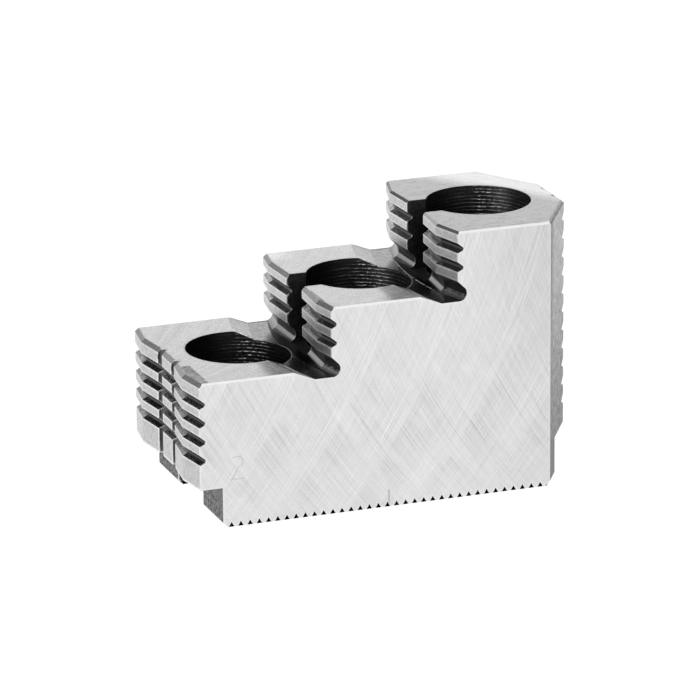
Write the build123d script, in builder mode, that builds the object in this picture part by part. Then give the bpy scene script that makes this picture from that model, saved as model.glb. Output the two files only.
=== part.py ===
from build123d import *
import os
from math import asin, degrees, radians, sqrt, tan

os.makedirs("parts", exist_ok=True)

# A hard top jaw for a lathe chuck, one block of steel in millimetres.
# X runs along the jaw, from the low first step to the tall third one.
# Y runs across it and Z points up, away from the jaw carrier that it is bolted to.
# The origin is where the axis of the middle bolt meets the plane of the tooth crests of the base.

# Body
jaw_width = 31.2
overhang_height = 6.4
first_step_height = 23.4
second_step_height = 33.15
third_step_height = 42.9

# Bolts
bolt_spacing = 20.0
bolt_count = 3
first_bolt_from_base_end = 8.1
bolt_hole_diameter = 11.0
head_bore_diameter = 16.5
head_seat_height = 12.0

# Lengths from the side corner of the first gripping face
first_face_overhang = 3.6
first_step_length = 21.4
second_step_length = 20.75
third_step_length = 15.4

# Gripping faces, each with two blunt ridges beside the middle
first_ridge_reach = 0.86
second_ridge_reach = 0.8
third_ridge_reach = 1.5
first_ridge_offset = 9.8
second_ridge_offset = 10.9
third_ridge_offset = 10.0
first_inner_reach = 0.0
second_inner_reach = 0.4
third_inner_reach = 1.05
first_face_chamfer = 0.6
second_face_chamfer = 0.6
third_face_chamfer = 0.38
side_top_chamfer = 0.32

# Nose at the tall end
nose_reach = 6.6
nose_half_width = 4.9
nose_notch_radius = 0.6
nose_notch_offset = 2.45
nose_top_chamfer = 0.5
nose_overhang = 4.25

# Slot from each riser into the bolt bore behind it
slot_width = 7.0
slot_mouth_chamfer = 0.1

# Upright relief grooves of the first gripping face
relief_radius = 0.9
relief_offset = 3.1
relief_centre_depth = 0.15

# Grip grooves, horizontal notches with a steep upper flank
grip_pitch = 3.0
grip_depth = 1.18
grip_rise = 1.0
grip_drop = 0.62
grip_tip_radius = 0.35
nose_grip_depth = 1.05
first_face_grips = 4
riser_grips = 2
nose_grips = 11
first_grip_below_top = 3.4
riser_grip_below_top = 2.8
nose_grip_below_top = 2.8

# Turned slope and flat in front of each riser, and the undercut at its foot
turned_radius = 55.0
slope_start_ahead = 8.2
slope_length = 3.1
slope_drop = 1.35
turned_length = 6.0
undercut_depth = 1.45
undercut_height = 3.2

# Base
serration_pitch = 1.5
serration_depth = 0.78
serration_angle = 60.0
first_serration_from_end = 1.3
base_end_chamfer = 0.7
tenon_width = 12.0
tenon_depth = 5.0
tenon_mouth_chamfer = 0.6

# How far a cutter runs past the surface that it cuts, and past the ridge of a gripping face
cutter_overrun = 2.0
ridge_overrun = 0.5

# Places worked out from the sizes above
half_width = jaw_width / 2
slot_half = slot_width / 2
base_start = -bolt_spacing - first_bolt_from_base_end
first_face = base_start - first_face_overhang
second_face = first_face + first_step_length
third_face = second_face + second_step_length
side_end = third_face + third_step_length
nose_face = side_end + nose_reach
base_end = nose_face - nose_overhang
base_length = base_end - base_start
nose_slant = nose_reach / (half_width - nose_half_width)
base_end_half = half_width - (base_end - side_end) / nose_slant
bolt_places = [(index - (bolt_count - 1) / 2) * bolt_spacing for index in range(bolt_count)]
step_heights = [first_step_height, second_step_height, third_step_height]
turned_arc = 2 * degrees(asin(half_width / turned_radius))
undercut_radius = (undercut_height - undercut_depth) / sqrt(2)


def face_points(face_x, ridge_reach, ridge_offset, inner_reach):
    """Plan points of half a gripping face: its middle, its ridge and its side corner."""
    middle = Vector(face_x - inner_reach, relief_offset)
    ridge = Vector(face_x - ridge_reach, ridge_offset)
    corner = Vector(face_x, half_width)
    return [middle, ridge, corner]


def facet_runs(points):
    """Start and end of a cutter along each facet of half a gripping face.

    The runs overshoot the ridge into the open air, so two of them meet there in a mitre.
    The last run follows the flat middle, up to the jaw's middle plane.
    """
    middle, ridge, corner = points
    inner = (ridge - middle).normalized()
    outer = (corner - ridge).normalized()
    return [
        (ridge + inner * ridge_overrun, middle),
        (corner + outer * cutter_overrun, ridge - outer * ridge_overrun),
        (middle, Vector(middle.X, 0)),
    ]


def section_plane(start, end, height):
    """Upright plane across a run, with x pointing into the jaw, y up and z along the run."""
    along = (end - start).normalized()
    return Plane(origin=(start.X, start.Y, height), x_dir=(-along.Y, along.X, 0), z_dir=along)


faces = [
    face_points(first_face, first_ridge_reach, first_ridge_offset, first_inner_reach),
    face_points(second_face, second_ridge_reach, second_ridge_offset, second_inner_reach),
    face_points(third_face, third_ridge_reach, third_ridge_offset, third_inner_reach),
]
face_chamfers = [first_face_chamfer, second_face_chamfer, third_face_chamfer]
grip_counts = [first_face_grips, riser_grips, riser_grips]
first_grips = [first_grip_below_top, riser_grip_below_top, riser_grip_below_top]

# The jaw is the same on both sides, so the half on the +Y side is made first
with BuildPart() as jaw:
    # Base, with slanting corners at the tall end
    with BuildSketch():
        with BuildLine():
            Polyline(
                (base_start, 0),
                (base_end, 0),
                (base_end, base_end_half),
                (side_end, half_width),
                (base_start, half_width),
                close=True,
            )
        make_face()
    extrude(amount=overhang_height)
    end_edges = jaw.edges().filter_by_position(Axis.Z, 0, 0)
    tall_end_edges = end_edges.filter_by_position(Axis.X, side_end, base_end, (False, True))
    low_end_edge = end_edges.sort_by(Axis.X)[0]
    chamfer([low_end_edge, *tall_end_edges], base_end_chamfer)

    # One block for each step, from the overhang up, all of them ending at the nose
    for points, top in zip(faces, step_heights):
        with BuildSketch(Plane.XY.offset(overhang_height)):
            with BuildLine():
                Polyline(
                    (points[0].X, 0),
                    *points,
                    (side_end, half_width),
                    (nose_face, nose_half_width),
                    (nose_face, 0),
                    close=True,
                )
            make_face()
        extrude(amount=top - overhang_height)

    # Broken top edges of the gripping faces, the nose and the long sides
    for points, top, size in zip(faces, step_heights, face_chamfers):
        top_edges = jaw.edges().filter_by_position(Axis.Z, top, top)
        face_edges = top_edges.filter_by_position(Axis.X, points[1].X, points[2].X + size)
        chamfer(face_edges, size)
    top_edges = jaw.edges().filter_by_position(Axis.Z, third_step_height, third_step_height)
    nose_edges = top_edges.filter_by_position(Axis.X, side_end, nose_face, (False, True))
    chamfer(nose_edges, nose_top_chamfer)
    for top in step_heights:
        top_edges = jaw.edges().filter_by_position(Axis.Z, top, top)
        chamfer(top_edges.filter_by_position(Axis.Y, half_width, half_width), side_top_chamfer)

    # Turned slope and flat in front of the second and third steps, and the undercuts behind them
    for points, top in zip(faces[1:], step_heights):
        floor = top - slope_drop
        slope_start = points[2].X - slope_start_ahead
        chuck_axis = Axis((slope_start + turned_radius, 0, 0), (0, 0, -1))
        with BuildSketch(Plane.XZ):
            with BuildLine():
                Polyline(
                    (slope_start, top),
                    (slope_start + slope_length, floor),
                    (slope_start + turned_length, floor),
                    (slope_start + turned_length, top),
                    close=True,
                )
            make_face()
        revolve(axis=chuck_axis, revolution_arc=turned_arc, mode=Mode.SUBTRACT)
        for start, end in facet_runs(points):
            with BuildSketch(section_plane(start, end, floor)):
                with BuildLine():
                    corner_arc = CenterArc(
                        (undercut_depth - undercut_radius, undercut_radius),
                        undercut_radius,
                        start_angle=-90,
                        arc_size=135,
                    )
                    Polyline(
                        corner_arc @ 1,
                        (0, undercut_height),
                        (-cutter_overrun, undercut_height),
                        (-cutter_overrun, 0),
                        corner_arc @ 0,
                    )
                make_face()
            extrude(amount=(end - start).length, mode=Mode.SUBTRACT)

    # Grip grooves along the facets
    for points, top, count, first_below in zip(faces, step_heights, grip_counts, first_grips):
        for index in range(count):
            tip_height = top - first_below - index * grip_pitch
            for start, end in facet_runs(points):
                with BuildSketch(section_plane(start, end, tip_height)):
                    with BuildLine():
                        Polyline(
                            (-cutter_overrun, grip_rise),
                            (0, grip_rise),
                            (grip_depth, 0),
                            (0, -grip_drop),
                            (-cutter_overrun, -grip_drop),
                            close=True,
                        )
                    make_face()
                    tip = vertices().sort_by(Axis.X)[-1]
                    fillet(tip, grip_tip_radius)
                extrude(amount=(end - start).length, mode=Mode.SUBTRACT)

    # Grip grooves of the nose, straight across, so they run out on its slanting sides
    with BuildSketch(Plane.XZ.offset(-half_width)):
        for index in range(nose_grips):
            tip_height = third_step_height - nose_grip_below_top - index * grip_pitch
            with BuildLine():
                Polyline(
                    (nose_face + cutter_overrun, tip_height + grip_rise),
                    (nose_face, tip_height + grip_rise),
                    (nose_face - nose_grip_depth, tip_height),
                    (nose_face, tip_height - grip_drop),
                    (nose_face + cutter_overrun, tip_height - grip_drop),
                    close=True,
                )
            make_face()
    extrude(amount=half_width, mode=Mode.SUBTRACT)

    # Upright relief groove in the first gripping face, and the small notch in the nose
    relief_place = (first_face + relief_centre_depth, relief_offset)
    with BuildSketch(Plane.XY.offset(overhang_height)):
        with Locations(relief_place):
            Circle(relief_radius)
    extrude(amount=first_step_height, mode=Mode.SUBTRACT)
    with BuildSketch(Plane.XY.offset(overhang_height)):
        with Locations((nose_face, nose_notch_offset)):
            Circle(nose_notch_radius)
    extrude(amount=third_step_height, mode=Mode.SUBTRACT)

    # Half of the slot that opens each riser into the bore behind it
    for points, bore_x, floor_step in zip(faces[1:], bolt_places[1:], step_heights):
        mouth_x = points[0].X
        with BuildSketch(Plane.XY.offset(floor_step - slope_drop)):
            with BuildLine():
                Polyline(
                    (bore_x, 0),
                    (bore_x, slot_half),
                    (mouth_x + slot_mouth_chamfer, slot_half),
                    (mouth_x, slot_half + slot_mouth_chamfer),
                    (mouth_x - ridge_overrun, slot_half + slot_mouth_chamfer),
                    (mouth_x - ridge_overrun, 0),
                    close=True,
                )
            make_face()
        extrude(amount=third_step_height, mode=Mode.SUBTRACT)

    # The other half
    mirror(about=Plane.XZ)

    # Bolt holes with deep bores for the bolt heads, which all seat at one height
    for bore_x, top in zip(bolt_places, step_heights):
        with Locations((bore_x, 0, top)):
            CounterBoreHole(
                radius=bolt_hole_diameter / 2,
                counter_bore_radius=head_bore_diameter / 2,
                counter_bore_depth=top - head_seat_height,
                depth=top,
            )

    # Tenon groove along the whole base, with broken mouth edges
    with BuildSketch(Plane.YZ.offset(base_start)):
        Rectangle(tenon_width, tenon_depth, align=(Align.CENTER, Align.MIN))
        with BuildLine():
            Polyline(
                (-tenon_width / 2 - tenon_mouth_chamfer, 0),
                (-tenon_width / 2, tenon_mouth_chamfer),
                (tenon_width / 2, tenon_mouth_chamfer),
                (tenon_width / 2 + tenon_mouth_chamfer, 0),
                close=True,
            )
        make_face()
    extrude(amount=base_length, mode=Mode.SUBTRACT)

    # Serrated base, which meshes with the serrations of the jaw carrier
    mouth = 2 * serration_depth * tan(radians(serration_angle / 2))
    last_possible = base_length - first_serration_from_end - base_end_chamfer
    serration_count = int(last_possible / serration_pitch) + 1
    middle_x = base_start + first_serration_from_end + (serration_count - 1) * serration_pitch / 2
    with BuildSketch(Plane.XZ.offset(-half_width)):
        with Locations((middle_x, 0)):
            with GridLocations(serration_pitch, serration_pitch, serration_count, 1):
                Polygon((-mouth / 2, 0), (mouth / 2, 0), (0, serration_depth), align=None)
    extrude(amount=jaw_width, mode=Mode.SUBTRACT)

jaw.part.label = "jaw"
export_step(jaw.part, "parts/jaw.step")
print("jaw volume in cubic centimetres", round(jaw.part.volume / 1000, 2))
print("jaw size", [round(length, 2) for length in jaw.part.bounding_box().size])
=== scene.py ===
# %% [markdown]
# # A stepped chuck jaw: bright ground faces on a dark hardened block
#
# The shape comes from the CAD model. This lesson gives it its steel, puts it on a pale floor under a
# soft studio light and looks at it through the long lens of the photograph.

# %% Load the frame
from math import cos, pi, radians, sin

import bpy
from mathutils import Matrix, Vector

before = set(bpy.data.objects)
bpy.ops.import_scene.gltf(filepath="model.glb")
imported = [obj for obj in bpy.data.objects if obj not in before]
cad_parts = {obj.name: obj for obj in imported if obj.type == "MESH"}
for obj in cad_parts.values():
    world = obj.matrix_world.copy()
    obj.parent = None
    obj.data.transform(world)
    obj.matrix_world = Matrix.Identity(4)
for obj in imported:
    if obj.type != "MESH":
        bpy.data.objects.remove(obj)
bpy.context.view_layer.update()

MM = 0.001
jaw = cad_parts["jaw"]
print("jaw loaded with", len(jaw.data.polygons), "faces")

# %% [markdown]
# ## Sizes that the finish needs
#
# A finish follows the machining, so it asks where a point lies: on a gripping face or behind it, on a
# ground top or on the turned floor below it. These are the CAD model's own sizes in millimetres. Where
# there are three, they belong to the low, the middle and the tall step. The lip's radius is where the
# turned floor ends at the undercut. The near strip isn't part of the shape: it is the band along the
# near side where the marks of the tools show most, and where the low tops and the slopes get a painted
# dark reflection of the undercuts and risers.

# %% Sizes of the block and its base
HALF_WIDTH = 15.6
SIDE_END = 25.85
BASE_START = -28.1
BASE_END = 28.2
OVERHANG_HEIGHT = 6.4
TENON_HALF = 6.0
TENON_DEPTH = 5.0
NOSE_LENGTH = 6.6
NOSE_NARROWING = 10.7
NOSE_SLANT = NOSE_NARROWING / NOSE_LENGTH
TOPS = (23.4, 33.15, 42.9)
LARGEST_BREAK = 0.6
print("ground tops at heights of", TOPS, "mm")

# %% Sizes of the gripping faces, bores and turned floors
FACE_X = (-31.7, -10.3, 10.45)
MIDDLE_REACH = (0.0, 0.4, 1.05)
RIDGE_REACH = (0.86, 0.8, 1.5)
RIDGE_OFFSET = (9.8, 10.9, 10.0)
MIDDLE_OFFSET = 3.1
RELIEF_RADIUS = 0.9
BOLT_SPACING = 20.0
HEAD_BORE_RADIUS = 8.25
SLOT_HALF = 3.5
FLOORS = (22.05, 31.8)
TURNED_RADIUS = 55.0
SLOPE_START_AHEAD = 8.2
SLOPE_WIDTH = 3.1
LIP_RADIUS = 48.75
UNDERCUT_HEIGHT = 3.2
UNDERCUT_DEPTH = 1.45
NEAR_STRIP_START = -6.0
NEAR_STRIP_FULL = -9.0
print("head bores", 2 * HEAD_BORE_RADIUS, "mm wide and", BOLT_SPACING, "mm apart")

# %% [markdown]
# ## Writing shader sums in short lines
#
# A procedural material is a long sum over the point's place and the surface's direction. It could be
# drawn by hand in the node editor, but so many nodes would be hard to follow there. A small class keeps
# it readable: each call adds one node or a few to the tree and returns the output, and a plain number
# is set straight on the socket. A mask is such an output that is 1 on one kind of surface and 0
# elsewhere. In the cells below, s is the calculator of the material that is being made.

# %% A small shader calculator


class Shader:
    """Adds nodes to one material and returns their outputs, so that a formula reads as a formula."""

    def __init__(self, tree):
        self.tree = tree

    def put(self, socket, value):
        """Links value to the socket if it is another node's output, or else sets it there as a constant."""
        if isinstance(value, bpy.types.NodeSocket):
            self.tree.links.new(value, socket)
        else:
            socket.default_value = value

    def node(self, kind, settings=None, **inputs):
        """A node of that kind. Settings are its properties, and inputs are its sockets.

        A socket's name has _ for each space.
        """
        made = self.tree.nodes.new(kind)
        for name, value in (settings or {}).items():
            setattr(made, name, value)
        for name, value in inputs.items():
            self.put(made.inputs[name.replace("_", " ")], value)
        return made

    def math(self, operation, *values):
        """One Math node over the given values."""
        made = self.node("ShaderNodeMath", {"operation": operation})
        for socket, value in zip(made.inputs, values):
            self.put(socket, value)
        return made.outputs[0]

    def add(self, a, b):
        """a plus b."""
        return self.math("ADD", a, b)

    def minus(self, a, b):
        """a less b."""
        return self.math("SUBTRACT", a, b)

    def times(self, a, b):
        """a multiplied by b."""
        return self.math("MULTIPLY", a, b)

    def times_add(self, a, share, b):
        """a multiplied by share, plus b."""
        return self.math("MULTIPLY_ADD", a, share, b)

    def size(self, a):
        """a without its sign."""
        return self.math("ABSOLUTE", a)

    def distance(self, a, b):
        """The length of the plane vector (a, b): the root of the sum of their squares."""
        return self.math("SQRT", self.add(self.math("POWER", a, 2.0), self.math("POWER", b, 2.0)))

    def less(self, a, b):
        """1 where a is under b, else 0."""
        return self.math("LESS_THAN", a, b)

    def more(self, a, b):
        """1 where a is over b, else 0."""
        return self.math("GREATER_THAN", a, b)

    def near(self, a, b, reach):
        """1 where a is within reach of b, else 0."""
        return self.math("COMPARE", a, b, reach)

    def both(self, *masks):
        """1 only where every mask is 1: their product."""
        found = masks[0]
        for mask in masks[1:]:
            found = self.times(found, mask)
        return found

    def either(self, *masks):
        """1 where any mask is 1: the largest of them."""
        found = masks[0]
        for mask in masks[1:]:
            found = self.math("MAXIMUM", found, mask)
        return found

    def without(self, mask):
        """1 where the mask is 0, and 0 where it is 1."""
        return self.minus(1.0, mask)

    def ramp(self, value, low, high, start=0.0, end=1.0):
        """Goes smoothly from start to end while value goes from low to high, and stays level outside."""
        made = self.node("ShaderNodeMapRange", {"interpolation_type": "SMOOTHSTEP"})
        for socket, number in zip(made.inputs, (value, low, high, start, end)):
            self.put(socket, number)
        return made.outputs[0]

    def mix(self, share, a, b):
        """a where share is 0, b where it is 1."""
        made = self.node("ShaderNodeMix", Factor=share)
        self.put(made.inputs[2], a)
        self.put(made.inputs[3], b)
        return made.outputs[0]

    def turn(self, share, a, b):
        """Direction a where share is 0, direction b where it is 1."""
        made = self.node("ShaderNodeMix", {"data_type": "VECTOR"}, Factor=share)
        self.put(made.inputs[4], a)
        self.put(made.inputs[5], b)
        return made.outputs[1]

    def vector(self, x, y, z):
        """The vector with these three parts."""
        return self.node("ShaderNodeCombineXYZ", X=x, Y=y, Z=z).outputs[0]

    def noise(self, place, scale, detail=2.0, roughness=0.5):
        """Soft noise of about 0 to 1 with a mean of one half."""
        made = self.node("ShaderNodeTexNoise", Vector=place, Scale=scale, Detail=detail, Roughness=roughness)
        return made.outputs["Fac"]


def new_material(name):
    """An empty node material and its calculator."""
    material = bpy.data.materials.new(name)
    material.use_nodes = True
    material.node_tree.nodes.clear()
    return material, Shader(material.node_tree)


# %% [markdown]
# ## Where a point is, and which tool left it like that
#
# A real jaw is milled and turned, hardened, and then ground only where it has to be true: the two
# sides, the tops and the gripping faces. Its look could be painted on an unwrapped mesh, but the CAD
# mesh has no such map and must not change. So masks find each surface from the point's place and the
# face's direction, which works at any size of picture. What no mask claims keeps the dark skin of the
# hardening.

# %% The point's place in millimetres, and the direction that its face looks in
TURNED_ASIDE = 0.02

steel, s = new_material("ground_and_scaled_steel")
coordinates = s.node("ShaderNodeTexCoord").outputs["Object"]
place = s.node("ShaderNodeVectorMath", {"operation": "SCALE"}, Vector=coordinates, Scale=1 / MM).outputs[0]
x, y, z = s.node("ShaderNodeSeparateXYZ", Vector=place).outputs
geometry = s.node("ShaderNodeNewGeometry")
nx, ny, nz = s.node("ShaderNodeSeparateXYZ", Vector=geometry.outputs["True Normal"]).outputs
side_distance = s.size(y)
side_facing = s.size(ny)
looks_near = s.less(ny, -TURNED_ASIDE)
looks_far = s.more(ny, TURNED_ASIDE)
local_x = s.math("WRAP", x, BOLT_SPACING / 2, -BOLT_SPACING / 2)
bolt_distance = s.distance(local_x, y)
past_first_bolt = s.more(x, -BOLT_SPACING)
past_middle_bolt = s.more(x, 0.0)
print("each bolt has its own x from", -BOLT_SPACING / 2, "to", BOLT_SPACING / 2, "mm")

# %% How far a point lies behind its gripping face


def by_step(first, second, third):
    """The value that belongs to the gripping face nearest to the point: one change at each bolt axis."""
    low_steps = s.times_add(past_first_bolt, second - first, first)
    return s.times_add(past_middle_bolt, third - second, low_steps)


def gripping_depth():
    """How far the point lies behind the facets of its gripping face, in millimetres.

    The face bulges by its middle reach, rises linearly to the ridge and falls linearly to 0 at the side.
    """
    from_middle = s.math("MAXIMUM", s.add(side_distance, -MIDDLE_OFFSET), 0.0)
    rises = [
        (ridge - middle) / (offset - MIDDLE_OFFSET)
        for middle, ridge, offset in zip(MIDDLE_REACH, RIDGE_REACH, RIDGE_OFFSET)
    ]
    falls = [ridge / (HALF_WIDTH - offset) for ridge, offset in zip(RIDGE_REACH, RIDGE_OFFSET)]
    inner = s.times_add(from_middle, by_step(*rises), by_step(*MIDDLE_REACH))
    outer = s.times(s.minus(HALF_WIDTH, side_distance), by_step(*falls))
    return s.add(s.minus(x, by_step(*FACE_X)), s.math("MINIMUM", inner, outer))


depth = gripping_depth()
floor_z = by_step(FLOORS[0], FLOORS[0], FLOORS[1])
print("gripping faces start at x =", FACE_X, "mm")

# %% Ground faces
LEVEL = 0.95
TOUCH = 0.05

upright = s.less(s.size(nz), 0.2)
sides = s.both(s.more(side_facing, LEVEL), s.more(side_distance, HALF_WIDTH - 2 * TOUCH))
tops = s.both(s.more(nz, LEVEL), s.either(*[s.near(z, top, TOUCH) for top in TOPS]))
low_tops = s.less(z, TOPS[2] - 1.0)
facets = s.both(upright, s.less(nx, -0.5), s.less(s.size(depth), TOUCH))
print("ground: two sides,", len(TOPS), "tops and", len(FACE_X), "gripping faces")

# %% Broken edges, which look half up or half outwards
SLANTED = 0.7

top_edge = s.either(*[s.near(z, top - LARGEST_BREAK / 2, LARGEST_BREAK / 2 + 0.01) for top in TOPS])
face_breaks = s.both(s.near(nz, SLANTED, 0.06), s.less(side_facing, 0.5), top_edge)
side_breaks = s.both(s.near(side_facing, SLANTED, 0.1), s.more(side_distance, HALF_WIDTH - 0.4), top_edge)
outer_corners = s.both(s.near(x, SIDE_END + 0.2, 0.2), s.more(side_distance, 12.0))
corner_breaks = s.both(upright, outer_corners, s.without(sides))
print("edges broken by up to", LARGEST_BREAK, "mm")

# %% Turned slopes and floors in front of the risers
SLOPE_UPWARD = 0.917
CLOSE = 0.03

slopes = s.both(s.near(nz, SLOPE_UPWARD, 0.03), s.more(nx, 0.1))
turned_floors = s.both(s.more(nz, LEVEL), s.near(z, floor_z, CLOSE))
chuck_x = s.add(by_step(FACE_X[1], FACE_X[1], FACE_X[2]), TURNED_RADIUS - SLOPE_START_AHEAD)
chuck_radius = s.distance(s.minus(chuck_x, x), y)
past_lip = s.less(chuck_radius, LIP_RADIUS)
floors = s.both(turned_floors, s.without(past_lip))
bore_rims = s.both(turned_floors, s.less(bolt_distance, HEAD_BORE_RADIUS + 0.1))
far_rims = s.both(s.either(slopes, turned_floors), s.near(y, HALF_WIDTH - 0.2, 0.2))

lip_line = s.both(s.near(chuck_radius, LIP_RADIUS, 0.08), s.ramp(y, 9.0, 8.0), s.ramp(y, -9.5, -8.5))
lip_gaps = s.more(s.noise(place, 0.8, 2.0), s.ramp(z, 25.0, 30.0, 0.56, 0.4))
lip = s.both(turned_floors, lip_line, lip_gaps)
print("slopes turned on a radius of", TURNED_RADIUS, "mm, with a lip at", LIP_RADIUS, "mm")

# %% Groove flanks and undercuts
lower_flanks = s.both(s.near(nz, 0.86, 0.05), s.less(nx, -0.3))
ceilings = s.less(nz, -0.3)
on_riser = s.both(s.more(z, s.add(floor_z, -CLOSE)), s.less(z, s.add(floor_z, UNDERCUT_HEIGHT)))
foot_depth = UNDERCUT_DEPTH + 0.15
behind_face = s.near(depth, foot_depth / 2, foot_depth / 2 - 0.02)
foot = s.both(past_first_bolt, behind_face, on_riser)
undercuts = s.either(s.both(foot, s.without(sides)), s.both(turned_floors, past_lip))
hollows = s.both(foot, s.near(nz, 0.6, 0.37))
near_hollows = s.both(hollows, looks_near, s.less(y, NEAR_STRIP_FULL))
far_hollows = s.both(hollows, looks_far, s.more(y, 0.0))
print("undercuts are", UNDERCUT_HEIGHT, "mm high and", UNDERCUT_DEPTH, "mm deep")

# %% Nose and base
nose = s.both(s.more(x, SIDE_END + 0.15), s.without(tops))
nose_break = s.both(s.more(x, SIDE_END + 0.05), s.more(z, TOPS[2] - 0.7), s.near(nz, SLANTED, 0.2))
in_base = s.less(z, OVERHANG_HEIGHT)
base_end = s.both(s.less(nx, -0.6), in_base, s.near(x, BASE_START, 0.8))
base_corners = s.both(in_base, s.near(x, (SIDE_END + BASE_END) / 2, 1.17), s.less(side_facing, LEVEL))
tenon = s.both(s.less(side_distance, TENON_HALF + TOUCH), s.less(z, TENON_DEPTH + TOUCH))
print("tenon groove", 2 * TENON_HALF, "mm wide and", TENON_DEPTH, "mm deep")

# %% Bores, slots and relief grooves
bores = s.both(s.less(bolt_distance, HEAD_BORE_RADIUS + CLOSE), s.without(tops))
slot_walls = s.both(s.less(side_distance, SLOT_HALF + CLOSE), s.more(z, s.add(floor_z, -CLOSE)))
slots = s.both(slot_walls, s.more(depth, 0.15), s.more(x, FACE_X[1]), s.without(tops))
relief_band = s.near(side_distance, MIDDLE_OFFSET, RELIEF_RADIUS + CLOSE)
relief_walls = s.both(relief_band, s.less(x, FACE_X[0] + 1.5), s.less(s.size(nz), TOUCH))
relief = s.both(relief_walls, s.without(tops), s.without(facets))
print("masks use", len(s.tree.nodes), "nodes")

# %% [markdown]
# ## Patterns for every surface
#
# Steel is never one flat grey. A picture of worn metal could give it its unevenness, but it would blur
# up close and fit no other jaw. These patterns are worked out from the point's place instead: a grain
# as fine as the pores, a blotch and a cloud for uneven colour, small dark specks, and streaks. Noise
# that varies quickly across a direction and slowly along it looks like the marks of a tool that moved
# that way.

# %% Grain, blotches, clouds and specks


def centred(pattern):
    """The pattern moved down by one half, so that it adds as much dark as bright."""
    return s.add(pattern, -0.5)


def stretched(shares):
    """The point's place with each coordinate multiplied by its own share."""
    made = s.node("ShaderNodeVectorMath", {"operation": "MULTIPLY"}, Vector=place)
    s.put(made.inputs[1], shares)
    return made.outputs[0]


cloud = centred(s.noise(place, 0.35, 3.0))
blotch = centred(s.noise(place, 1.6, 3.0, 0.6))
grain = centred(s.noise(place, 5.5, 3.0, 0.7))
specks = s.ramp(s.noise(place, 2.5, 4.0, 0.7), 0.55, 0.68)
upright_streaks = centred(s.noise(stretched((1.0, 1.0, 0.25)), 3.5, 3.0, 0.7))
print("patterns for every surface: cloud, blotch, grain, specks and upright streaks")

# %% Marks that follow a tool


def streaks(across, along, seed, scale, stretch=0.05, detail=3.0):
    """Noise of about 0 to 1 that varies quickly across the marks and slowly along them."""
    return s.noise(s.vector(across, s.times(along, stretch), seed), scale, detail, 0.65)


def wheel_reach(along, centre, radius):
    """How far an arc's point lies from the wheel's centre line: the other side of a right triangle."""
    offset = s.minus(centre, along)
    return s.math("SQRT", s.minus(radius**2, s.math("POWER", offset, 2.0)))


# %% [markdown]
# ## Grinding marks of a cup wheel
#
# The sides are ground by the rim of a large cup wheel. Its leading and trailing edge leave two families
# of arcs that cross. All arcs have the wheel's radius, and their centres lie on one level line, so an
# arc is where x plus or minus the square root of radius squared minus height squared stays the same.
#
# The wheel moved on by the same feed after each pass. A pass ends in a bright band of fine parallel
# lines, and just after a band the older, darker marks of the other family still show. They fade towards
# the next band.

# %% Arcs and passes of the side wheel
WHEEL_RADIUS = 117.0
WHEEL_CENTRE_Z = 75.0
WHEEL_FEED = 11.4
FIRST_PASS = -109.2

side_reach = wheel_reach(z, WHEEL_CENTRE_Z, WHEEL_RADIUS)
leading = s.add(x, side_reach)
trailing = s.minus(x, side_reach)
since_pass = s.math("FRACT", s.math("DIVIDE", s.add(trailing, -FIRST_PASS), WHEEL_FEED))
bands = s.both(s.ramp(since_pass, 0.7, 0.8), s.ramp(since_pass, 1.0, 0.96))
uneven = s.noise(s.vector(leading, s.times(trailing, 0.4), z), 0.2, 2.0)
left_over = s.both(
    s.ramp(since_pass, 0.85, 0.1, 0.3, 1.0),
    s.ramp(uneven, 0.34, 0.58, 0.15, 1.0),
    s.ramp(z, 32.0, 9.0, 0.35, 1.0),
    s.ramp(x, 5.0, 24.0, 1.0, 0.65),
)
print("side wheel of radius", WHEEL_RADIUS, "mm moved on by", WHEEL_FEED, "mm after each pass")

# %% Marks on the sides
dark_lines = s.ramp(streaks(leading, z, 3.0, 3.4, 0.01, 2.0), 0.46, 0.66)
deep_lines = s.ramp(streaks(leading, z, 13.0, 2.4, 0.015, 2.0), 0.6, 0.7)
fine_leading = centred(streaks(leading, z, 23.0, 4.5, 0.05))
fine_trailing = centred(streaks(trailing, z, 33.0, 3.6, 0.03))
side_marks = s.add(s.times(fine_leading, 0.5), s.times(fine_trailing, 0.5))
old_marks = s.both(left_over, s.times_add(dark_lines, 0.75, 0.25))
deep_marks = s.both(deep_lines, left_over)
band_lines = s.both(bands, fine_trailing, s.ramp(z, 5.0, 30.0, 0.3, 1.2))
long_dark = s.ramp(streaks(leading, z, 53.0, 4.0, 0.006, 1.0), 0.66, 0.74)
long_bright = s.ramp(streaks(trailing, z, 63.0, 4.0, 0.006, 1.0), 0.66, 0.74)
print("with the marks on the sides", len(s.tree.nodes), "nodes")

# %% [markdown]
# ## Two scribed marks
#
# Jaws are made in sets, and each goes back to its own place on the chuck. So the near side carries the
# jaw's place number, low down, and a short index line at the middle bolt. A text object could draw the
# number, but it would be a piece of its own, so each stroke is the distance to an arc or a line.

# %% The place number
NUMBER_X = -25.8
NUMBER_Z = 10.3
NUMBER_RADIUS = 0.95
NUMBER_FOOT = 7.6
NUMBER_STROKE = 0.16
NUMBER_STRENGTH = 0.6


def stroke(distance, half_width):
    """A soft scribed line: 1 along the line, 0 from half_width on."""
    return s.ramp(s.size(distance), half_width, 0.0)


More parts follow.
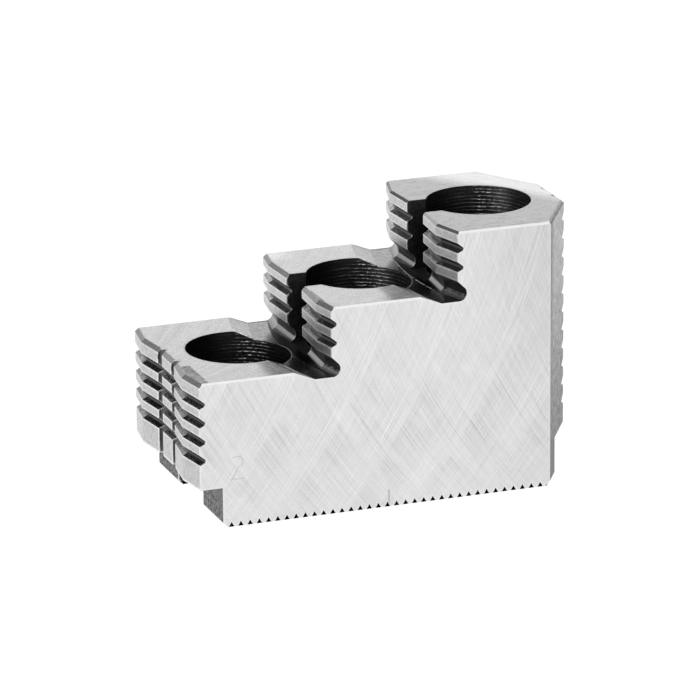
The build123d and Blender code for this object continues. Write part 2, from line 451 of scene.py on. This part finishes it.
number_x = s.add(x, -NUMBER_X)
number_z = s.add(z, -NUMBER_Z)
number_rise = NUMBER_Z - NUMBER_FOOT
bow_line = stroke(s.add(s.distance(number_x, number_z), -NUMBER_RADIUS), NUMBER_STROKE)
bow = s.both(bow_line, s.more(s.times_add(number_x, 1.2, number_z), -0.1))
stem_offset = s.times_add(number_z, -1.5 * NUMBER_RADIUS / number_rise, number_x)
stem_line = stroke(s.add(stem_offset, -0.65 * NUMBER_RADIUS), NUMBER_STROKE)
stem = s.both(stem_line, s.near(number_z, -0.6 * number_rise, 0.4 * number_rise))
base_line = s.both(stroke(s.add(z, -NUMBER_FOOT), 0.14), s.near(number_x, 0.0, 1.1))
number = s.times(s.either(bow, stem, base_line), NUMBER_STRENGTH)
print("place number at x =", NUMBER_X, "mm,", round(number_rise + NUMBER_RADIUS, 2), "mm tall")

# %% The index line, with worn metal round its foot
INDEX_X = -1.05
INDEX_MIDDLE_Z = 1.6
INDEX_HALF_LENGTH = 1.15
INDEX_STROKE = 0.22

from_index = s.add(x, -INDEX_X)
index_line = s.both(stroke(from_index, INDEX_STROKE), s.near(z, INDEX_MIDDLE_Z, INDEX_HALF_LENGTH))
smudge = s.ramp(s.distance(from_index, s.add(z, -0.3)), 1.6, 0.3, 0.0, 0.4)
scribed = s.either(number, index_line, s.both(smudge, s.add(dark_lines, 0.3)))
print("index line at x =", INDEX_X, "mm,", 2 * INDEX_HALF_LENGTH, "mm long")

# %% [markdown]
# ## Marks on the tops, and rings in the bores
#
# The tops are ground by a smaller wheel, so its arcs are rounder, and near the risers a second
# direction crosses them. The head bores are left as bored, with fine rings and a few glints. The glints
# are a painted highlight on the rings, in the part of each far wall where the lamp shows, and the rings
# are painted stronger there. Real grooves so small would take far too many faces, so the rings are a
# wave over the height that wobbles a little.

# %% Marks on the tops
TOP_WHEEL_RADIUS = 65.0
TOP_WHEEL_CENTRE_Y = 44.0
HATCH_SLANT = 0.6

top_arc = s.minus(x, wheel_reach(y, TOP_WHEEL_CENTRE_Y, TOP_WHEEL_RADIUS))
top_arcs = centred(streaks(top_arc, y, 41.0, 0.8, 0.05))
crossing = s.times_add(y, HATCH_SLANT, x)
hatch = s.add(streaks(top_arc, y, 43.0, 4.0, 0.1), streaks(crossing, y, 47.0, 4.0, 0.1))
centred_hatch = s.add(hatch, -1.0)
dashes = s.ramp(s.noise(stretched((0.35, 1.0, 1.0)), 2.6, 3.0, 0.7), 0.52, 0.72)
print("top wheel of radius", TOP_WHEEL_RADIUS, "mm")

# %% Rings in the bores
RING_PITCH = 0.57

around_bore = s.vector(s.times(local_x, 0.5), s.times(y, 0.5), s.times(z, 2.0))
ring_wobble = centred(s.noise(around_bore, 0.5, 3.0, 0.6))
ring_height = s.times_add(ring_wobble, 0.5, z)
ring_wave = s.math("SINE", s.times(ring_height, 2 * pi / RING_PITCH))
below_top = s.math("WRAP", s.minus(by_step(*TOPS), z), 0.0, TOPS[1] - TOPS[0])
# Partly painted light: ring contrast grows towards each bore's tall-end side, where the wall catches the
# lamp, and is weaker in the first bore and just under the top.
ring_strength = s.both(
    s.ramp(s.noise(around_bore, 0.9, 3.0, 0.6), 0.35, 0.65, 0.2, 1.0),
    s.mix(s.less(x, -BOLT_SPACING / 2), 1.0, 0.5),
    s.ramp(below_top, 0.8, 2.0, 0.4, 1.0),
    s.ramp(local_x, -5.0, 3.5, 0.3, 1.0),
)
rings = s.both(s.ramp(ring_wave, 0.5, 0.97), ring_strength)
print("bore rings", RING_PITCH, "mm apart")

# %% Painted glints on the rings, where the lamp shows in the far wall
glint_zone = s.both(s.ramp(local_x, 1.5, 3.5), s.ramp(local_x, 7.2, 5.8), s.more(y, 1.0))
glint_spots = s.ramp(s.noise(stretched((0.8, 0.8, 3.2)), 2.2, 3.0, 0.7), 0.5, 0.6)
glints = s.both(s.ramp(ring_wave, 0.4, 0.9), glint_spots, glint_zone, upright)
print("with all patterns", len(s.tree.nodes), "nodes")

# %% [markdown]
# ## One steel, from bright to black
#
# The whole jaw is one metal. It could have a material for each surface, but the CAD mesh has one slot
# and the finishes run into each other, so one shader does it all: only its tone and its roughness
# change. The class below keeps both, and lays one finish after another over what is there, like paint
# over masking tape. The order matters, because a later finish covers an earlier one where their masks
# meet.

# %% Laying one finish over another
SKIN_TONE = 0.07
SKIN_ROUGHNESS = 0.4


class Finish:
    """The steel's tone, from 0 for black to 1 for bright, and its roughness."""

    def __init__(self, tone, rough):
        self.tone = tone
        self.rough = rough

    def lay(self, mask, tone, rough):
        """Covers what is there with a new tone and roughness, as far as the mask goes."""
        self.tone = s.mix(mask, self.tone, tone)
        self.rough = s.mix(mask, self.rough, rough)


def varied(base, *parts):
    """A tone plus a share of each pattern: base plus the sum of pattern times share."""
    value = base
    for pattern, share in parts:
        value = s.times_add(pattern, share, value)
    return value


finish = Finish(varied(SKIN_TONE, (grain, 0.06)), rough=SKIN_ROUGHNESS)
print("the steel starts as the dark skin of the hardening")

# %% [markdown]
# ### Grooves and broken edges
#
# The gripping faces are notched and their top edges are broken. Hardening left them between grey and
# black, and how much light a flank catches depends on which way it looks. The studio light alone would
# leave them too even, so light and shade are painted into them: a tone for each step and for each way
# a flank looks, with a set of their own on the half of the jaw that is turned away.

# %% Ends of the base, and the nose
# Painted shade: faces that look down are painted darker than the skin.
finish.lay(ceilings, 0.03, rough=0.4)
finish.lay(base_end, varied(0.15, (blotch, 0.8), (grain, 0.35)), rough=0.5)
# Painted shade: the nose is darker towards the floor, and darker towards its two corners.
nose_tone = varied(s.ramp(z, 5.0, 40.0, 0.17, 0.4), (upright_streaks, 1.25), (blotch, 0.3))
nose_shade = s.ramp(side_distance, 12.5, 15.3, 1.0, s.ramp(z, 18.0, 38.0, 0.8, 0.5))
finish.lay(nose, s.both(nose_tone, nose_shade), rough=0.45)
finish.lay(base_corners, varied(0.075, (grain, 0.1)), rough=0.4)
print("the nose is darker towards its two corners")

# %% Groove flanks and broken edges of the gripping faces
far_half = s.more(y, MIDDLE_OFFSET)

# Painted light and shade: each step, and each way a flank looks, gets its own tone.
near_flank_light = s.mix(looks_far, by_step(0.17, 0.22, 0.42), by_step(0.3, 0.4, 0.44))
far_flank_light = s.mix(looks_far, by_step(0.07, 0.2, 0.36), by_step(0.24, 0.38, 0.34))
flank_painted_light = s.mix(far_half, near_flank_light, far_flank_light)
finish.lay(lower_flanks, varied(flank_painted_light, (grain, 0.9), (blotch, 0.9), (specks, -0.15)), rough=0.18)

# Painted light and shade: the broken top edges get a tone for each step and each way they look.
near_break_light = s.mix(looks_near, by_step(0.25, 0.25, 0.36), by_step(0.22, 0.26, 0.7))
far_break_light = s.mix(looks_near, by_step(0.18, 0.2, 0.1), by_step(0.2, 0.2, 0.09))
break_painted_light = s.mix(far_half, near_break_light, far_break_light)
finish.lay(face_breaks, varied(break_painted_light, (grain, 0.3), (blotch, 0.15)), rough=0.2)
print("with the groove flanks", len(s.tree.nodes), "nodes")

# %% Undercuts at the foot of the risers
# Painted shade: the undercuts are darker than the skin, for the shade in these recesses. Painted light: a
# hollow is lighter the more it looks up, and the near and far hollows have tones of their own.
hollow_upward_light = s.ramp(nz, 0.45, 0.9, 0.05, 0.42)
finish.lay(undercuts, varied(0.02, (grain, 0.04), (blotch, 0.03)), rough=0.3)
finish.lay(hollows, varied(0.22, (grain, 0.15)), rough=0.15)
finish.lay(near_hollows, varied(hollow_upward_light, (grain, 0.4), (blotch, 0.4)), rough=0.3)
finish.lay(far_hollows, varied(0.27, (grain, 0.2), (blotch, 0.15)), rough=0.25)
print("the undercuts are nearly black, with a grey hollow under each facet")

# %% [markdown]
# ### Turned and ground faces
#
# The slopes and floors in front of the risers are turned before hardening and stay greyish. The facets,
# tops and sides are ground last and are the brightest. One far corner of the middle top and one of the
# tall top catch the light, and a thin painted highlight runs round the near part of each bore. The light
# could make such a corner shine only with a lamp of its own, which would change every other face too, so
# the shine is a painted highlight in the tone.

# %% Turned slopes and floors
# Painted reflection: on the near strip the slopes get a darker tone and stronger marks, for the dark
# undercut and riser that they mirror.
near_strip_dark_reflection = s.ramp(y, NEAR_STRIP_START, NEAR_STRIP_FULL)
down_slope = s.ramp(s.minus(TURNED_RADIUS, chuck_radius), 0.0, SLOPE_WIDTH + 0.2, 0.28, 0.85)
slope_hatch = s.both(centred_hatch, s.ramp(y, 0.0, NEAR_STRIP_START, 0.12, 3.2))
slope_blotch = s.both(blotch, s.ramp(y, 0.0, NEAR_STRIP_START, 0.45, 1.0))
slope_marks = varied(s.mix(near_strip_dark_reflection, 0.38, down_slope), (slope_hatch, 1.0), (slope_blotch, 1.0))
finish.lay(slopes, varied(slope_marks, (grain, 0.4), (specks, -0.12)), rough=s.mix(near_strip_dark_reflection, 0.25, 0.7))
finish.lay(floors, varied(0.35, (blotch, 0.5), (grain, 0.3), (specks, -0.15)), rough=0.2)
finish.lay(far_rims, SKIN_TONE, rough=SKIN_ROUGHNESS)
finish.lay(lip, varied(0.3, (blotch, 1.2)), rough=0.4)
finish.lay(bore_rims, varied(0.25, (blotch, 0.8)), rough=0.4)
print("slopes are", SLOPE_WIDTH, "mm wide and get brighter downwards")

# %% Ground facets and the shine on the far corners of the tops
SHINE_TONE = 1.0

finish.lay(facets, varied(0.53, (grain, 0.6), (blotch, 0.4), (specks, -0.12)), rough=0.35)
towards_corner = s.times_add(x, 0.79, s.times(y, 0.61))
tall_shine = s.both(s.ramp(towards_corner, 20.0, 26.0), s.without(low_tops))
middle_corner = s.distance(s.add(x, -FACE_X[1]), s.add(y, -HALF_WIDTH))
middle_shine = s.both(s.ramp(middle_corner, 6.0, 1.0), s.near(z, TOPS[1], 1.0))
shine = s.either(tall_shine, middle_shine)
top_tone = s.mix(shine, s.ramp(z, TOPS[1], TOPS[2], 0.72, 0.54), SHINE_TONE)
print("the middle top shines at its corner at x =", FACE_X[1], "mm, the tall one past its bore")

# %% Ground tops
arc_share = s.ramp(z, TOPS[0], TOPS[1], 0.4, 0.22)
dash_share = s.ramp(z, TOPS[1], TOPS[2], -0.1, -0.25)
# Painted reflection: the near end of each low top is darker, for the dark riser that it mirrors, and it
# carries a cross-hatch of tool marks.
hatched_end_dark_reflection = s.both(low_tops, s.less(y, NEAR_STRIP_START), s.ramp(local_x, -1.0, 2.5))
end_hatch = s.both(hatched_end_dark_reflection, centred_hatch)
top_tone = varied(top_tone, (s.both(top_arcs, low_tops), arc_share), (dashes, dash_share))
top_tone = varied(top_tone, (end_hatch, 1.6), (hatched_end_dark_reflection, -0.12))
top_tone = varied(top_tone, (cloud, 0.12), (grain, 0.5), (specks, -0.05))
# Painted highlight: a thin bright rim round the near part of each bore, where its edge would catch the
# light.
near_rim_painted_highlight = s.ramp(bolt_distance, HEAD_BORE_RADIUS + 0.3, HEAD_BORE_RADIUS + 0.1)
top_tone = s.mix(s.both(near_rim_painted_highlight, s.ramp(y, 4.0, -1.0)), top_tone, SHINE_TONE)
finish.lay(tops, top_tone, rough=s.mix(hatched_end_dark_reflection, 0.22, 0.55))
print("with the tops", len(s.tree.nodes), "nodes")

# %% Ground sides
finish.lay(side_breaks, varied(1.0, (cloud, 0.2), (grain, 0.3)), rough=0.35)
side_tone = s.ramp(x, 10.0, 25.0, 0.73, s.ramp(z, 12.0, 34.0, 0.69, 0.63))
side_tone = varied(side_tone, (old_marks, -0.12), (deep_marks, -0.14), (band_lines, 0.22))
side_tone = varied(side_tone, (long_dark, -0.12), (long_bright, 0.07))
side_tone = varied(side_tone, (side_marks, 0.42), (cloud, 0.05), (grain, 0.2))
finish.lay(sides, side_tone, rough=0.35)
print("with the sides", len(s.tree.nodes), "nodes")

# %% Broken corners and the nose's top edge
corner_tone = s.ramp(z, 10.0, 42.0, 0.16, 0.13)
finish.lay(corner_breaks, varied(corner_tone, (upright_streaks, 0.5), (grain, 0.2)), rough=0.4)
nose_break_tone = s.ramp(z, TOPS[2] - 0.4, TOPS[2] - 0.15, 0.2, 0.38)
finish.lay(nose_break, varied(nose_break_tone, (blotch, 0.5), (grain, 0.7)), rough=0.4)
print("corners at x =", SIDE_END, "mm are broken")

# %% [markdown]
# ### Chips, dark hollows and torn edges
#
# Tools and bolts leave small damage: two chips on the nose's top edge, dark chips and bright torn bits
# round the bores. They are far too small for the CAD mesh, so they are only tone. The grooves, slots
# and bores were never ground, so they stay nearly black. The tenon groove gets painted shade, and each
# bore wall gets painted light that makes it lighter on its side towards the tall end.

# %% Two chips on the nose's top edge: how far across each lies, and how dark it is
NOSE_CHIP_X = 31.9
NOSE_CHIP_HALF_WIDTH = 0.45
NOSE_CHIP_HALF_LENGTH = 0.7
NOSE_CHIPS = ((2.2, 0.6), (-2.05, 1.0))

for chip_y, chip_strength in NOSE_CHIPS:
    chip_across = s.math("DIVIDE", s.add(x, -NOSE_CHIP_X), NOSE_CHIP_HALF_WIDTH)
    chip_along = s.math("DIVIDE", s.add(y, -chip_y), NOSE_CHIP_HALF_LENGTH)
    chip = s.ramp(s.distance(chip_across, chip_along), 1.0, 0.6, 0.0, chip_strength)
    finish.lay(s.both(chip, s.more(z, TOPS[2] - 0.6)), 0.02, rough=0.5)
print(len(NOSE_CHIPS), "chips on the nose")

# %% Relief grooves, tenon groove, slots and bores
finish.lay(relief, varied(0.12, (grain, 0.1)), rough=0.4)
# Painted shade: the tenon groove under the jaw is painted darker than the skin.
finish.lay(tenon, 0.03, rough=0.5)
finish.lay(slots, varied(0.1, (blotch, 0.2), (grain, 0.15)), rough=0.4)
# Painted light: each bore wall is lighter towards its tall-end side, and the glints are a painted highlight.
bore_painted_light = s.ramp(local_x, -6.0, 4.0, 0.45, 0.9)
bore_tone = s.both(bore_painted_light, varied(0.13, (rings, 0.38), (grain, 0.3), (blotch, 0.12)))
finish.lay(bores, s.mix(glints, bore_tone, 0.8), rough=0.35)
print("with the bores", len(s.tree.nodes), "nodes")

# %% Chips and torn bits round the bores
chip_reach = s.mix(slopes, HEAD_BORE_RADIUS + 0.45, HEAD_BORE_RADIUS + 0.9)
chips = s.both(s.either(slopes, floors), s.less(bolt_distance, chip_reach), s.more(blotch, 0.02))
finish.lay(chips, 0.04, rough=0.5)
slope_rims = s.both(slopes, s.less(bolt_distance, HEAD_BORE_RADIUS + 1.1))
torn = s.both(slope_rims, s.more(s.noise(place, 2.0, 2.0), 0.53), s.more(y, 0.0))
finish.lay(torn, 0.9, rough=0.4)
print("bore rims are chipped, and torn where a bore cuts a slope")

# %% [markdown]
# ### Worn edges, painted edge highlights and fine relief
#
# An edge that is handled goes bright first, and a rounded edge catches a thin line of light, so edges
# get a bright tone that is partly wear and partly a painted highlight. Edges could be marked one by one,
# but ambient occlusion, measured inside the metal, is low at every outer edge and so finds them all. The
# Bevel node rounds the light on them, and a bump keeps the tool marks alive. Burrs stand up from the
# metal, so they lean a little towards the low end and the near side, and glints lean up towards the lamp.

# %% Worn edges and painted edge highlights
EDGE_REACH = 0.4 * MM
SCRIBED_TONE = 0.42
BARE_AND_HIGHLIGHT_TONE = 0.95
BARE_ROUGHNESS = 0.5

inside = s.node(
    "ShaderNodeAmbientOcclusion", {"samples": 6, "inside": True, "only_local": True}, Distance=EDGE_REACH
)
ground = s.either(sides, tops, facets)
bare_or_highlit_edge = s.ramp(inside.outputs["AO"], s.mix(ground, 0.85, 0.97), s.mix(ground, 0.6, 0.78))
low_rim = s.both(s.near(z, floor_z, 0.4), s.without(sides))
wear_and_highlight = s.mix(s.either(face_breaks, low_rim, sides, corner_breaks, nose), 1.0, 0.2)
wear_and_highlight = s.both(wear_and_highlight, s.without(s.either(bores, slots, slope_rims)))
worn_and_highlit = s.both(bare_or_highlit_edge, s.ramp(s.noise(place, 1.2, 3.0, 0.6), 0.3, 0.55, 0.6, 1.0), wear_and_highlight)

tone = s.mix(s.both(sides, s.less(y, 0.0), scribed), finish.tone, SCRIBED_TONE)
# Painted highlight: worn edges take the bare tone, partly wear and partly the thin light that a rounded edge
# catches, and the lip's line is pushed a tenth of the way towards it.
tone = s.mix(s.either(worn_and_highlit, s.both(lip, 0.1)), tone, BARE_AND_HIGHLIGHT_TONE)
rough = s.mix(worn_and_highlit, finish.rough, BARE_ROUGHNESS)
print("edges are looked for within", EDGE_REACH / MM, "mm")

# %% Bump and rounded edges
BUMP_HEIGHT = 0.05 * MM
BUMP_STRENGTH = 0.2
ROUNDING = 0.1 * MM

scratch = s.mix(sides, grain, s.times_add(side_marks, 0.8, grain))
scratch = s.mix(tops, scratch, s.times_add(hatch, 1.5, grain))
scratch = s.mix(bores, scratch, s.times_add(rings, 4.0, grain))
bump = s.node("ShaderNodeBump", Strength=BUMP_STRENGTH, Distance=BUMP_HEIGHT, Height=scratch)
rounded = s.node("ShaderNodeBevel", {"samples": 6}, Radius=ROUNDING)
normal = s.turn(s.both(worn_and_highlit, s.without(ground)), bump.outputs[0], rounded.outputs[0])
print("bump of", BUMP_HEIGHT / MM, "mm, worn edges rounded by", ROUNDING / MM, "mm")

# %% Burrs and glints lean out of their surface
BURR_LEAN = -0.4
GLINT_LEAN = 0.8

tall_lip = s.both(lip, s.more(z, FLOORS[1] - 0.1))
burr = s.both(s.either(tall_lip, bore_rims, torn), BURR_LEAN)
lean = s.vector(burr, burr, s.both(bores, glints, GLINT_LEAN))
leaning = s.node("ShaderNodeVectorMath", {"operation": "ADD"}, Vector=normal)
s.put(leaning.inputs[1], lean)
normal = s.node("ShaderNodeVectorMath", {"operation": "NORMALIZE"}, Vector=leaning.outputs[0]).outputs[0]
print("burrs lean by", BURR_LEAN, "and glints by", GLINT_LEAN)

# %% The steel on the jaw
surface = s.node("ShaderNodeBsdfPrincipled", Base_Color=tone, Roughness=rough, Metallic=1.0, Normal=normal)
s.node("ShaderNodeOutputMaterial", Surface=surface.outputs[0])
jaw.material_slots[0].material = steel
print("steel uses", len(s.tree.nodes), "nodes")

# %% [markdown]
# ## Floor
#
# The jaw stands on white paper. Under a lamp alone the paper would be grey in places, so it gives light
# of its own, and the metal has something bright to mirror. Its glow would also fill the small notches
# of the base from below, so the paper is dark where the two rails stand on it.

# %% A sheet of paper under the jaw
FLOOR_REACH = 6.0

floor_mesh = bpy.data.meshes.new("floor")
corners = [(-FLOOR_REACH, -FLOOR_REACH, 0), (FLOOR_REACH, -FLOOR_REACH, 0)]
corners += [(FLOOR_REACH, FLOOR_REACH, 0), (-FLOOR_REACH, FLOOR_REACH, 0)]
floor_mesh.from_pydata(corners, [], [(0, 1, 2, 3)])
floor = bpy.data.objects.new("floor", floor_mesh)
bpy.context.scene.collection.objects.link(floor)
print("floor reaches", FLOOR_REACH, "m each way")

# %% White paper, dark under the rails
RAIL_END_GAP = 0.75
SLANT_GAP = 0.9
PAPER_MATTE = 0.1

paper, s = new_material("white_paper")
floor_place = s.node("ShaderNodeTexCoord").outputs["Object"]
floor_x, floor_y, _ = s.node("ShaderNodeSeparateXYZ", Vector=floor_place).outputs
floor_side = s.size(floor_y)
rail_middle = (HALF_WIDTH + TENON_HALF) / 2 * MM
rail_half = (HALF_WIDTH - TENON_HALF) / 2 * MM
base_middle = (BASE_END + BASE_START) / 2 * MM
base_half = ((BASE_END - BASE_START) / 2 - RAIL_END_GAP) * MM
slant_reach = (HALF_WIDTH + SIDE_END * NOSE_SLANT - SLANT_GAP) * MM
under_rails = s.both(
    s.near(floor_side, rail_middle, rail_half),
    s.near(floor_x, base_middle, base_half),
    s.less(s.times_add(floor_x, NOSE_SLANT, floor_side), slant_reach),
)
lit = s.without(under_rails)
glow = s.node("ShaderNodeEmission", Color=(1, 1, 1, 1), Strength=lit)
matte = s.node("ShaderNodeBsdfDiffuse", Color=s.times(lit, PAPER_MATTE))
glow_and_matte = s.node("ShaderNodeAddShader")
s.tree.links.new(glow.outputs[0], glow_and_matte.inputs[0])
s.tree.links.new(matte.outputs[0], glow_and_matte.inputs[1])
s.node("ShaderNodeOutputMaterial", Surface=glow_and_matte.outputs[0])
floor_mesh.materials.append(paper)
print("paper uses", len(s.tree.nodes), "nodes")

# %% [markdown]
# ## Light
#
# Polished metal shows what stands around it. Area lamps would show in it as hard squares, so the light
# is a studio drawn on the sky: a low white wall all round, which is taller on the far left, dark air
# above it, and a soft round lamp overhead that is a little weaker at its centre. How steeply a
# direction rises, from 0 for level to 1 for straight up, says which of them it meets.

# %% Light: from and to which rise each part changes, and its strength there
WALL = (0.30, 0.52, 1.04, 0.025)
LAMP_EDGE = (0.75, 0.88, 0.0, 1.3)
LAMP_CENTRE = (0.9, 0.97, 1.0, 0.65)
FAR_LEFT_EXTRA = 0.055

world = bpy.data.worlds.new("studio")
bpy.context.scene.world = world
world.use_nodes = True
world.node_tree.nodes.clear()
s = Shader(world.node_tree)
direction = s.node("ShaderNodeTexCoord").outputs["Generated"]
toward_x, toward_y, rise = s.node("ShaderNodeSeparateXYZ", Vector=direction).outputs
far_left = s.both(s.ramp(toward_x, -0.2, -0.4), s.ramp(toward_y, 0.4, 0.7))
wall_light = s.ramp(s.times_add(far_left, -FAR_LEFT_EXTRA, rise), *WALL)
lamp_light = s.both(s.ramp(rise, *LAMP_EDGE), s.ramp(rise, *LAMP_CENTRE))
background = s.node("ShaderNodeBackground", Color=(1, 1, 1, 1), Strength=s.add(wall_light, lamp_light))
s.node("ShaderNodeOutputWorld", Surface=background.outputs[0])
print("studio light uses", len(s.tree.nodes), "nodes")

# %% [markdown]
# ## Camera
#
# The photograph was taken from well away with a long lens, which keeps the jaw's edges nearly parallel.
# A camera could be turned by hand until it looks right, but this one's place and three turns were
# fitted to the jaw's edges, and the small shift of its sensor puts the jaw where it was in the picture.

# %% Camera
CAMERA_PLACE = Vector((-275.58, -743.94, 273.03)) * MM
YAW = radians(20.842)
ELEVATION = radians(17.303)
ROLL = radians(-0.237)
LENS = 274.08
SENSOR_WIDTH = 36
SHIFT_X = -0.0784
SHIFT_Y = -0.0464
NEAREST_SEEN = 0.01

level_right = Vector((cos(YAW), -sin(YAW), 0))
forward = Vector((sin(YAW) * cos(ELEVATION), cos(YAW) * cos(ELEVATION), -sin(ELEVATION)))
right = level_right * cos(ROLL) + level_right.cross(forward) * sin(ROLL)
up = right.cross(forward)
camera_data = bpy.data.cameras.new("camera")
camera_data.sensor_width = SENSOR_WIDTH
camera_data.lens = LENS
camera_data.shift_x = SHIFT_X
camera_data.shift_y = SHIFT_Y
camera_data.clip_start = NEAREST_SEEN
camera = bpy.data.objects.new("camera", camera_data)
bpy.context.scene.collection.objects.link(camera)
axes = Matrix((right, up, -forward)).transposed()
camera.matrix_world = Matrix.Translation(CAMERA_PLACE) @ axes.to_4x4()
bpy.context.scene.camera = camera
bpy.context.scene.view_settings.view_transform = "Standard"
print("camera is", round(CAMERA_PLACE.length, 3), "m from the jaw")
